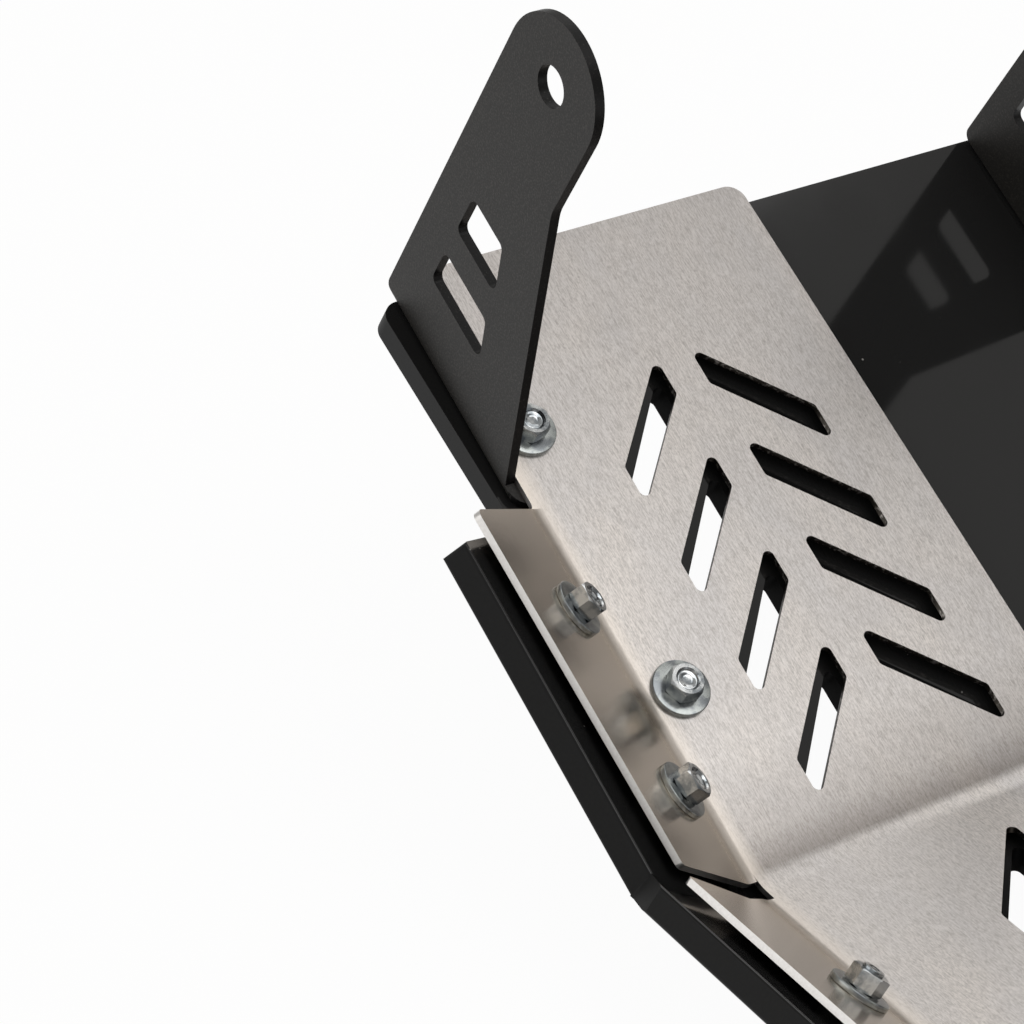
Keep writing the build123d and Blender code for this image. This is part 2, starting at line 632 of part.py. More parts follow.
def slant_v(height):
    """How far up the panel the bracket's slanted front edge is at a height above the sheet."""
    rise = (height + SHELL_INNER_DEPTH) / (BRACKET_BLEND_HEIGHT + SHELL_INNER_DEPTH)
    return BRACKET_TIP_V + (BRACKET_FRONT_V - BRACKET_TIP_V) * rise


def build_bracket(side, rear_v, foot_points, front_corner, seats, label):
    """Upright plate with a round top, a bore and two slots, on a foot bent in under the sheet."""
    top_radius = (rear_v - BRACKET_FRONT_V) / 2
    top_n = BRACKET_TOP_HEIGHT + top_radius
    heel_height = BRACKET_HEEL_LIFT - SHELL_INNER_DEPTH
    foot_high_v = foot_points[0][1]
    foot_low_v = foot_points[1][1]
    with BuildPart() as bracket:
        with BuildSketch(side_plane(side * BRACKET_OUTER_X)) as plate:
            draw_outline(
                (BRACKET_TIP_V, -SHELL_INNER_DEPTH),
                (foot_high_v, -SHELL_INNER_DEPTH),
                (foot_high_v, heel_height),
                (rear_v, heel_height),
                (rear_v, top_n),
                (BRACKET_FRONT_V, top_n),
                (BRACKET_FRONT_V, BRACKET_BLEND_HEIGHT),
            )
            crown = corners_near(plate, (rear_v, top_n), (BRACKET_FRONT_V, top_n))
            fillet(crown, top_radius * 0.999)
            fillet(corners_near(plate, (BRACKET_FRONT_V, BRACKET_BLEND_HEIGHT)), BRACKET_BLEND_RADIUS)
            fillet(corners_near(plate, (rear_v, heel_height)), BRACKET_HEEL_RADIUS)
        extrude(amount=-side * BRACKET_THICKNESS)
        with BuildSketch(side_plane(side * BRACKET_OUTER_X)) as windows:
            for low, window_height, margin in (
                (LOWER_WINDOW_BASE_HEIGHT, LOWER_WINDOW_HEIGHT, LOWER_WINDOW_MARGIN),
                (UPPER_WINDOW_BASE_HEIGHT, UPPER_WINDOW_HEIGHT, UPPER_WINDOW_MARGIN),
            ):
                high = low + window_height
                draw_outline(
                    (slant_v(low) + margin, low),
                    (WINDOW_REAR_V, low),
                    (WINDOW_REAR_V, high),
                    (slant_v(high) + margin, high),
                )
            fillet(windows.vertices(), WINDOW_CORNER)
            with Locations((BRACKET_BORE_V, BRACKET_BORE_HEIGHT)):
                Circle(BRACKET_BORE_RADIUS)
        extrude(amount=-side * BRACKET_THICKNESS, mode=Mode.SUBTRACT)
        with BuildSketch(FRONT.offset(-SHELL_INNER_DEPTH)) as foot:
            draw_outline(*foot_points)
            fillet(corners_near(foot, foot_points[1]), front_corner)
            fillet(corners_near(foot, *foot_points[-2:]), FOOT_CORNER)
        extrude(amount=SHEET_GAP)
        with BuildSketch(section_plane(FRONT, rear_v)):
            draw_corner_web(side * BRACKET_OUTER_X, -SHELL_INNER_DEPTH, -side, BRACKET_BEND_RADIUS)
        extrude(amount=rear_v - foot_low_v, mode=Mode.SUBTRACT)
        drill_clearance(seats, SHELL_THICKNESS, SHEET_GAP)
    bracket.part.label = label
    return bracket.part


left_bracket = build_bracket(
    -1,
    LEFT_REAR_V,
    (
        (-BRACKET_OUTER_X, LEFT_FOOT_HIGH_V),
        (-BRACKET_OUTER_X, LEFT_FOOT_LOW_V),
        (LEFT_FOOT_WIDTH - BRACKET_OUTER_X, LEFT_FOOT_LOW_V),
        (LEFT_FOOT_WIDTH - BRACKET_OUTER_X, LEFT_FOOT_HIGH_V),
    ),
    LEFT_FOOT_FRONT_CORNER,
    left_foot_seats,
    "left_bracket",
)
right_bracket = build_bracket(
    1,
    RIGHT_REAR_V,
    (
        (BRACKET_OUTER_X, RIGHT_FOOT_HIGH_V),
        (BRACKET_OUTER_X, WALL_TOP_V + FOOT_WALL_CLEARANCE),
        (SHELL_FOLD_X - SHELL_FOLD_TANGENT, WALL_TOP_V + FOOT_WALL_CLEARANCE),
        (SHELL_FOLD_X - SHELL_FOLD_TANGENT, RIGHT_FOOT_LOW_V),
        (BRACKET_OUTER_X - RIGHT_FOOT_WIDTH, RIGHT_FOOT_LOW_V),
        (BRACKET_OUTER_X - RIGHT_FOOT_WIDTH, RIGHT_FOOT_HIGH_V - RIGHT_FOOT_SLANT),
    ),
    RIGHT_FOOT_FRONT_CORNER,
    right_foot_seats,
    "right_bracket",
)

# Fasteners by place; a bracket's foot takes the place of the spacers
sheet_face = STACK
foot_face = SHELL_THICKNESS + SHEET_GAP
places = {
    "left_bracket": (left_foot_seats, sheet_face, BOLT_LENGTH),
    "right_bracket": (right_foot_seats, foot_face, FOOT_BOLT_LENGTH),
    "front_flange": (front_flange_seats, sheet_face, BOLT_LENGTH),
    "front_panel": (front_panel_seats, sheet_face, BOLT_LENGTH),
    "floor_flange": (floor_flange_seats, sheet_face, BOLT_LENGTH),
    "floor_side": (floor_right_seats, sheet_face, BOLT_LENGTH),
}
skid_shell.part.label = "skid_shell"
inner_sheet.part.label = "inner_sheet"
pieces = [skid_shell.part, inner_sheet.part, left_bracket, right_bracket]
for place, (seats, face, length) in places.items():
    pieces.append(build_bolts(seats, length, place + "_bolts"))
    pieces.append(
        build_rings(seats, face, WASHER_RADIUS, WASHER_CLEARANCE, WASHER_THICKNESS, place + "_washers")
    )
    pieces.append(build_nuts(seats, face + WASHER_THICKNESS, place + "_nuts"))
    if "bracket" not in place:
        pieces.append(
            build_rings(
                seats, SHELL_THICKNESS, SPACER_RADIUS, BOLT_CLEARANCE, SHEET_GAP, place + "_spacers"
            )
        )

os.makedirs("parts", exist_ok=True)
for piece in pieces:
    export_step(piece, "parts/" + piece.label + ".step")
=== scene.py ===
"""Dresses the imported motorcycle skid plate: shell, folded sheet, two brackets and their fasteners."""

import logging
import math
from collections.abc import Callable, Sequence
from dataclasses import dataclass, field
from enum import Enum

import bmesh
import bpy
from mathutils import Euler, Matrix, Vector
from mathutils.bvhtree import BVHTree


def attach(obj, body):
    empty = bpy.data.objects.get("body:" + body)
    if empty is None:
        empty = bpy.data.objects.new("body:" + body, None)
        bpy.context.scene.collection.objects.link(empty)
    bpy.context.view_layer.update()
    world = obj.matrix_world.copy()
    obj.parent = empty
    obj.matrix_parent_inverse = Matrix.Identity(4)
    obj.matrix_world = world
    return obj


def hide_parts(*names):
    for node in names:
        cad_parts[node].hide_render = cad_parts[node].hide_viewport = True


LOG = logging.getLogger("skid_plate")
MM = 0.001
BODY = "root"
MERGE_MM = 0.002
FLAT_DEGREES = 0.4
SHARP_DEGREES = 28
NEIGHBOUR_DEGREES = 40
THICKNESS_SHARE = 0.25
STANDING_LIMIT = 0.7


def hex_colour(code: str, alpha: float = 1.0) -> tuple[float, float, float, float]:
    """Turn an sRGB hex colour into linear values.

    Args:
        code: Six hex digits, with or without a leading hash.
        alpha: Opacity of the result.

    Returns:
        Linear red, green, blue and alpha.
    """
    digits = code.lstrip("#")
    parts = [int(digits[i : i + 2], 16) / 255 for i in (0, 2, 4)]
    linear = [c / 12.92 if c <= 0.04045 else ((c + 0.055) / 1.055) ** 2.4 for c in parts]
    return (linear[0], linear[1], linear[2], alpha)


def add_node(
    tree: bpy.types.NodeTree,
    kind: str,
    settings: dict[str, object] | None = None,
    values: dict[str | int, object] | None = None,
    links: dict[str | int, bpy.types.NodeSocket] | None = None,
) -> bpy.types.Node:
    """Add one node to a tree, set it up and link its inputs.

    Args:
        tree: The node tree that takes the node.
        kind: Blender's type name of the node.
        settings: Attributes of the node itself.
        values: Default values of its inputs, by name or number.
        links: Output sockets to join to its inputs, by name or number.

    Returns:
        The new node.
    """
    node = tree.nodes.new(kind)
    for name, value in (settings or {}).items():
        setattr(node, name, value)
    for key, value in (values or {}).items():
        node.inputs[key].default_value = value
    for key, source in (links or {}).items():
        tree.links.new(source, node.inputs[key])
    return node


class Layer(Enum):
    """Which of a solid's surfaces a face belongs to."""

    FACE = 0
    CUT = 1
    SLOT = 2


@dataclass(frozen=True)
class Shader:
    """A new material with its Principled shader, and short ways to build patterns on it."""

    material: bpy.types.Material
    tree: bpy.types.NodeTree
    bsdf: bpy.types.Node

    @classmethod
    def create(cls, name: str, colour: str, metallic: float, roughness: float, ior: float) -> "Shader":
        """Make a node material.

        Args:
            name: The finish's plain name.
            colour: sRGB hex of the base colour.
            metallic: 0 or 1.
            roughness: Base roughness.
            ior: Index of refraction of a non-metal.

        Returns:
            The shader with its material.
        """
        material = bpy.data.materials.new(name)
        material.use_nodes = True
        bsdf = material.node_tree.nodes["Principled BSDF"]
        bsdf.inputs["Base Color"].default_value = hex_colour(colour)
        bsdf.inputs["Metallic"].default_value = metallic
        bsdf.inputs["Roughness"].default_value = roughness
        if metallic < 0.5:
            bsdf.inputs["IOR"].default_value = ior
        return cls(material, material.node_tree, bsdf)

    def place(self, scale: tuple[float, float, float], turn: float = 0.0) -> bpy.types.NodeSocket:
        """Object coordinates in millimetres, scaled and turned.

        Args:
            scale: Features per millimetre along X, Y and Z.
            turn: Turn about Z in degrees.

        Returns:
            The vector output.
        """
        where = add_node(self.tree, "ShaderNodeTexCoord")
        factors = tuple(part / MM for part in scale)
        mapping = add_node(
            self.tree,
            "ShaderNodeMapping",
            values={"Rotation": (0.0, 0.0, math.radians(turn)), "Scale": factors},
            links={"Vector": where.outputs["Object"]},
        )
        return mapping.outputs["Vector"]

    def noise(
        self,
        scale: tuple[float, float, float],
        detail: float = 2.0,
        turn: float = 0.0,
        distort: float = 0.0,
    ) -> bpy.types.NodeSocket:
        """Noise of a real grain size.

        Args:
            scale: Features per millimetre along X, Y and Z.
            detail: Octaves.
            turn: Turn about Z in degrees.
            distort: Distortion of the pattern.

        Returns:
            The value from 0 to 1.
        """
        node = add_node(
            self.tree,
            "ShaderNodeTexNoise",
            values={"Scale": 1.0, "Detail": detail, "Distortion": distort},
            links={"Vector": self.place(scale, turn)},
        )
        return node.outputs["Fac"]

    def reach(self, axis: str, low: float, high: float) -> bpy.types.NodeSocket:
        """A value that runs from 0 to 1 between two places in millimetres along an axis."""
        where = add_node(self.tree, "ShaderNodeTexCoord")
        parts = add_node(self.tree, "ShaderNodeSeparateXYZ", links={0: where.outputs["Object"]})
        return self.ramp(parts.outputs[axis], low * MM, high * MM)

    def ramp(self, source: bpy.types.NodeSocket, low: float, high: float) -> bpy.types.NodeSocket:
        """Stretch a value so that low becomes 0 and high becomes 1, clamped."""
        node = add_node(
            self.tree,
            "ShaderNodeMapRange",
            settings={"clamp": True},
            values={"From Min": low, "From Max": high, "To Min": 0.0, "To Max": 1.0},
            links={"Value": source},
        )
        return node.outputs["Result"]

    def maths(
        self, operation: str, first: bpy.types.NodeSocket, second: bpy.types.NodeSocket | float
    ) -> bpy.types.NodeSocket:
        """Combine two values with a Math node."""
        node = add_node(self.tree, "ShaderNodeMath", settings={"operation": operation}, links={0: first})
        if isinstance(second, float):
            node.inputs[1].default_value = second
        else:
            self.tree.links.new(second, node.inputs[1])
        return node.outputs[0]

    def blend(
        self,
        factor: bpy.types.NodeSocket,
        first: bpy.types.NodeSocket | str,
        second: bpy.types.NodeSocket | str,
    ) -> bpy.types.NodeSocket:
        """Mix two colours, given as hex or as sockets, by a factor."""
        node = add_node(self.tree, "ShaderNodeMix", settings={"data_type": "RGBA"}, links={0: factor})
        for number, side in ((6, first), (7, second)):
            if isinstance(side, str):
                node.inputs[number].default_value = hex_colour(side)
            else:
                self.tree.links.new(side, node.inputs[number])
        return node.outputs[2]

    def bump(self, height: bpy.types.NodeSocket, strength: float, depth: float) -> None:
        """Feed a height into the normal.

        Args:
            height: Value from 0 to 1.
            strength: Strength of the effect.
            depth: Real depth in millimetres.
        """
        node = add_node(
            self.tree,
            "ShaderNodeBump",
            values={"Strength": strength, "Distance": depth * MM},
            links={"Height": height},
        )
        self.tree.links.new(node.outputs["Normal"], self.bsdf.inputs["Normal"])

    def feed(self, name: str, source: bpy.types.NodeSocket) -> None:
        """Link a value to one of the shader's inputs."""
        self.tree.links.new(source, self.bsdf.inputs[name])


@dataclass(frozen=True)
class MillAluminium:
    """Bare rolled aluminium sheet: warm pale grey, satin, with the mill's grain along the length."""

    slot: str = "sheet_aluminium"
    grain_mm: float = 0.34
    grain_length_mm: float = 3.2
    grain_relief_mm: float = 0.02
    roughness: float = 0.34
    grain_roughness: float = 0.14
    flange_x: float = -105.0
    flange_polish: float = 0.14
    scratch_turns: tuple[float, float] = (24.0, -38.0)
    speck_spread_mm: float = 16.0
    # Where the painted shade lies up from the bend and at the panel's top, and how dark it is
    bend_y: float = 150.0
    bend_start: tuple[float, float] = (0.8, 3.0)
    bend_full: float = 4.0
    bend_wide: tuple[float, float] = (31.0, 0.38)
    bend_close: tuple[float, float] = (12.0, 0.22)
    top_reach: tuple[float, float] = (85.0, 175.0)
    top_shade: float = 0.16

    def face(self) -> bpy.types.Material:
        """The rolled face, with streaks, soft stains, hair scratches, painted shade up from the bend and at
        the top, and a lighter, tan-tinted, smoother flange.
        """
        shader = Shader.create("mill_aluminium_face", "#D2CECB", 1.0, self.roughness, 1.45)
        across = 1 / self.grain_mm
        along = 1 / self.grain_length_mm
        # Streaks run up the plate, so they are fine across X and long in Y and Z
        streaks = shader.noise((across, along, along), 4.0, turn=4.0)
        flecks = shader.noise((across * 1.4, across / 2.5, across / 2.5), 2.0)
        grain = shader.maths(
            "ADD", shader.maths("MULTIPLY", streaks, 0.55), shader.maths("MULTIPLY", flecks, 0.45)
        )
        stains = shader.noise((0.03, 0.02, 0.02), 4.0, distort=0.6)
        flange = shader.reach("X", self.flange_x + 6.0, self.flange_x - 3.0)
        polished = shader.reach("X", self.flange_x, self.flange_x - 7.0)
        scratches, crossing = (self.scratches(shader, turn) for turn in self.scratch_turns)
        marks = shader.maths("MAXIMUM", scratches, crossing)
        clean = shader.blend(shader.ramp(stains, 0.35, 0.65), "#D3CFCD", "#DBD5D0")
        streaked = shader.blend(shader.ramp(grain, 0.36, 0.58), "#B0ABA7", clean)
        marked = shader.blend(shader.maths("MULTIPLY", marks, 0.5), streaked, "#F0EDEA")
        specked = shader.blend(self.specks(shader), marked, "#4A4642")
        # Painted shade: the band up from the bend and the panel's top are blended towards dark brown
        shaded = shader.blend(self.panel_shade(shader), specked, "#4A4038")
        flange_tint = shader.blend(stains, "#E4D9CC", "#EDE3D7")
        shader.feed("Base Color", shader.blend(flange, shaded, flange_tint))
        rough = shader.maths("MULTIPLY_ADD", grain, self.grain_roughness)
        rough.node.inputs[2].default_value = self.roughness - self.grain_roughness / 2
        smooth = shader.maths("MULTIPLY", polished, self.flange_polish)
        shader.feed("Roughness", shader.maths("SUBTRACT", rough, smooth))
        shader.bump(grain, 0.45, self.grain_relief_mm)
        return shader.material

    def panel_shade(self, shader: Shader) -> bpy.types.NodeSocket:
        """Painted shade: a darker band just up the panel from the bend, and a darker top of the panel.

        Args:
            shader: The shader that takes it.

        Returns:
            How dark each spot is, from 0 to 1.
        """
        full = self.bend_y + self.bend_full
        wide, close = (
            shader.maths("MULTIPLY", shader.reach("Y", self.bend_y + length, full), share)
            for length, share in (self.bend_wide, self.bend_close)
        )
        past_bend = shader.reach("Y", *(self.bend_y + start for start in self.bend_start))
        top = shader.maths(
            "MULTIPLY", shader.reach("Y", *(self.bend_y + end for end in self.top_reach)), self.top_shade
        )
        band = shader.maths("MULTIPLY", shader.maths("ADD", wide, close), past_bend)
        return shader.maths("ADD", band, top)

    def scratches(self, shader: Shader, turn: float) -> bpy.types.NodeSocket:
        """Sparse hair scratches that run one way.

        Args:
            shader: The shader that takes them.
            turn: Their direction in degrees.

        Returns:
            A mask from 0 to 1.
        """
        waves = shader.noise((0.5, 0.035, 0.035), 2.0, turn=turn, distort=0.4)
        band = shader.maths("ABSOLUTE", shader.maths("SUBTRACT", waves, 0.5), 0.0)
        patches = shader.ramp(shader.noise((0.02, 0.02, 0.02), 1.0, turn=turn), 0.5, 0.62)
        return shader.maths("MULTIPLY", shader.ramp(band, 0.004, 0.0), patches)

    def specks(self, shader: Shader) -> bpy.types.NodeSocket:
        """A few small dark specks of dirt, as a mask."""
        cells = add_node(
            shader.tree,
            "ShaderNodeTexVoronoi",
            values={"Scale": 1.0, "Randomness": 1.0},
            links={"Vector": shader.place((1 / self.speck_spread_mm,) * 3)},
        )
        spots = shader.ramp(cells.outputs["Distance"], 0.035, 0.025)
        pick = shader.ramp(shader.noise((0.04, 0.04, 0.04), 1.0), 0.52, 0.54)
        return shader.maths("MULTIPLY", spots, pick)

    def cut(self) -> bpy.types.Material:
        """The sheared edge: brighter and smoother than the face."""
        shader = Shader.create("mill_aluminium_cut_edge", "#DAD8D5", 1.0, 0.34, 1.45)
        ticks = shader.noise((1.4, 1.4, 1.4), 3.0)
        shader.feed("Base Color", shader.blend(ticks, "#D2CFCB", "#F0EEEC"))
        shader.bump(ticks, 0.3, 0.03)
        return shader.material

    def slot_wall(self) -> bpy.types.Material:
        """Painted shade: the walls of the slots, the same sheared metal as the cut edge drawn dark, with a
        few bright ticks.
        """
        shader = Shader.create("mill_aluminium_slot_wall", "#57514B", 1.0, 0.42, 1.45)
        ticks = shader.noise((0.7, 0.7, 0.7), 3.0)
        shader.feed("Base Color", shader.blend(shader.ramp(ticks, 0.52, 0.7), "#4A453F", "#B5AFA8"))
        shader.bump(ticks, 0.3, 0.03)
        return shader.material


@dataclass(frozen=True)
class GlossPlastic:
    """Pressed black thermoplastic sheet: mirror-gloss faces with dust, and matt routed edges."""

    slot: str = "shell_plastic"
    dust_mm: float = 9.0

    def face(self) -> bpy.types.Material:
        """The polished face, with dust specks and a little handling haze."""
        shader = Shader.create("gloss_black_plastic", "#212121", 0.0, 0.07, 1.49)
        cells = add_node(
            shader.tree,
            "ShaderNodeTexVoronoi",
            values={"Scale": 1.0, "Randomness": 1.0},
            links={"Vector": shader.place((1 / self.dust_mm,) * 3)},
        )
        specks = shader.ramp(cells.outputs["Distance"], 0.045, 0.025)
        pick = shader.ramp(shader.noise((0.05, 0.05, 0.05), 2.0), 0.45, 0.6)
        dust = shader.maths("MULTIPLY", specks, pick)
        haze = shader.ramp(shader.noise((0.03, 0.02, 0.02), 5.0, distort=0.5), 0.4, 0.75)
        shader.feed("Base Color", shader.blend(dust, "#212121", "#8A8884"))
        soft = shader.maths("MULTIPLY_ADD", haze, 0.05)
        soft.node.inputs[2].default_value = 0.06
        shader.feed("Roughness", shader.maths("MAXIMUM", soft, shader.maths("MULTIPLY", dust, 0.6)))
        return shader.material

    def cut(self) -> bpy.types.Material:
        """The routed edge: dark grey and matt, with fine cutter lines."""
        return self.routed("routed_black_plastic_edge", 0.22)

    def slot_wall(self) -> bpy.types.Material:
        """The walls of the slots, which reflect less than the outer edge."""
        return self.routed("routed_black_plastic_slot", 0.03)

    def routed(self, name: str, specular: float) -> bpy.types.Material:
        """One routed finish.

        Args:
            name: Plain name of the finish.
            specular: Level of its reflections.

        Returns:
            The material.
        """
        shader = Shader.create(name, "#121212", 0.0, 0.55, 1.49)
        shader.bsdf.inputs["Specular IOR Level"].default_value = specular
        lines = shader.noise((1.1, 1.1, 1.1), 3.0)
        shader.feed("Base Color", shader.blend(lines, "#0C0C0C", "#171717"))
        shader.bump(lines, 0.25, 0.04)
        return shader.material


@dataclass(frozen=True)
class PowderCoat:
    """Fine-textured black powder coat on steel: brown-black satin with a peppery orange peel."""

    slot: str = "bracket_coating"
    grit_mm: float = 0.55

    def face(self) -> bpy.types.Material:
        """The coated plate."""
        shader = Shader.create("black_powder_coat", "#2A2826", 0.0, 0.5, 1.5)
        shader.bsdf.inputs["Specular IOR Level"].default_value = 0.32
        grit = shader.noise((1 / self.grit_mm,) * 3, 2.0)
        cloud = shader.noise((0.03, 0.03, 0.03), 3.0)
        pepper = shader.ramp(grit, 0.5, 0.72)
        base = shader.blend(cloud, "#191816", "#1F1D1B")
        shader.feed("Base Color", shader.blend(shader.maths("MULTIPLY", pepper, 0.55), base, "#3D3A36"))
        rough = shader.maths("MULTIPLY_ADD", grit, -0.2)
        rough.node.inputs[2].default_value = 0.6
        shader.feed("Roughness", rough)
        shader.bump(grit, 0.45, 0.05)
        return shader.material

    def cut(self) -> bpy.types.Material:
        """The coated edge of the plate, darker than its face."""
        shader = Shader.create("black_powder_coat_edge", "#0A0909", 0.0, 0.38, 1.5)
        shader.bsdf.inputs["Specular IOR Level"].default_value = 0.2
        grit = shader.noise((1 / self.grit_mm,) * 3, 2.0)
        pepper = shader.ramp(grit, 0.6, 0.75)
        shader.feed("Base Color", shader.blend(shader.maths("MULTIPLY", pepper, 0.6), "#080707", "#3A3835"))
        shader.bump(grit, 0.4, 0.05)
        return shader.material


@dataclass(frozen=True)
class ZincPlate:
    """Zinc on steel: half-polished on nuts and bolts, duller on washers."""

    slot: str = "zinc_steel"
    roughness: float = 0.13

    def face(self) -> bpy.types.Material:
        """The finish of nuts and bolts, with faint clouds and painted shade on the flats that face along
        the part.
        """
        return self.plate("bright_zinc_plate", "#9FA5A9", "#E6E8E8", self.roughness, 0.14, 0.72)

    def pressed(self) -> bpy.types.Material:
        """The duller finish of washers."""
        return self.plate("dull_zinc_plate", "#83878A", "#A9ADAB", self.roughness + 0.1, 0.2, 0.0)

    def plate(
        self, name: str, dark: str, light: str, roughness: float, spread: float, flat_shade: float
    ) -> bpy.types.Material:
        """One zinc finish.

        Args:
            name: Plain name of the finish.
            dark: Hex colour of the cloud's dark side.
            light: Hex colour of its light side.
            roughness: Lowest roughness.
            spread: How much the clouds add to it.
            flat_shade: Painted shade, how much darker the flats are that face along the part.

        Returns:
            The material.
        """
        shader = Shader.create(name, light, 1.0, roughness, 1.45)
        cloud = shader.noise((0.25, 0.25, 0.25), 4.0)
        fine = shader.noise((2.2, 2.2, 2.2), 2.0)
        mottle = shader.maths(
            "ADD", shader.maths("MULTIPLY", cloud, 0.88), shader.maths("MULTIPLY", fine, 0.12)
        )
        clouded = shader.blend(shader.ramp(mottle, 0.42, 0.58), dark, light)
        # Painted shade: flats whose normal runs along Y are blended towards dark grey
        where = add_node(shader.tree, "ShaderNodeTexCoord")
        parts = add_node(shader.tree, "ShaderNodeSeparateXYZ", links={0: where.outputs["Normal"]})
        along = shader.ramp(shader.maths("ABSOLUTE", parts.outputs["Y"], 0.0), 0.6, 0.74)
        shaded_flats = shader.blend(shader.maths("MULTIPLY", along, flat_shade), clouded, "#3C4146")
        shader.feed("Base Color", shaded_flats)
        rough = shader.maths("MULTIPLY_ADD", cloud, spread)
        rough.node.inputs[2].default_value = roughness - spread / 2
        shader.feed("Roughness", rough)
        shader.bump(fine, 0.14, 0.02)
        return shader.material


@dataclass(frozen=True)
class MattSpacer:
    """Plain black moulded plastic for the hidden spacer rings: matt, with a fine spark texture."""

    slot: str = "spacer_plastic"

    def face(self) -> bpy.types.Material:
        """The moulded surface."""
        shader = Shader.create("matt_black_spacer", "#171717", 0.0, 0.6, 1.5)
        spark = shader.noise((1.5, 1.5, 1.5), 2.0)
        shader.feed("Base Color", shader.blend(spark, "#131313", "#1D1D1D"))
        shader.bump(spark, 0.2, 0.03)
        return shader.material


@dataclass(frozen=True)
class Panel:
    """A flat stretch of the part: local x across, y along it and z out of its inner face."""

    origin: Vector
    turn: Matrix

    @classmethod
    def at_bend(cls, angle: float, bend_y: float, stack: float) -> "Panel":
        """Panel that rises forward from the bend.

        Args:
            angle: Rise in degrees.
            bend_y: Y of the bend in millimetres.
            stack: Height of the inner face above the underside in millimetres.

        Returns:
            The panel, in metres.
        """
        return cls(Vector((0, bend_y, stack)) * MM, Matrix.Rotation(math.radians(angle), 3, "X"))

    def flange(self, fold_x: float, lean: float) -> "Panel":
        """The left flange of this panel.

        Args:
            fold_x: Distance of the fold line from the middle in millimetres.
            lean: Fold angle in degrees.

        Returns:
            A panel with local x across and out of the fold.
        """
        origin = self.origin + self.turn @ Vector((-fold_x, 0, 0)) * MM
        return Panel(origin, self.turn @ Matrix.Rotation(math.radians(lean), 3, "Y"))

    def seat(self, x: float, y: float, height: float, spin: float = 0.0) -> tuple[Vector, Euler]:
        """Place and turn of a fastener on this panel.

        Args:
            x: Millimetres across.
            y: Millimetres along.
            height: Millimetres above the inner face.
            spin: Turn about its own axis in degrees.

        Returns:
            The point in metres and the Euler turn.
        """
        spun = self.turn @ Matrix.Rotation(math.radians(spin), 3, "Z")
        return self.origin + self.turn @ Vector((x, y, height)) * MM, spun.to_euler()


@dataclass(frozen=True)
class Place:
    """One place where pieces are bolted together.

    Attributes:
        name: Plain name, with which its CAD nodes begin.
        panel: The flat stretch that it lies on.
        spots: X, Y and spin of each fastener, in millimetres and degrees.
        face: Height of the face under the washers above the panel's inner face.
        proud: How far the bolts' ends stand above their nuts.
    """

    name: str
    panel: Panel
    spots: tuple[tuple[float, float, float], ...]
    face: float
    proud: float = -0.6


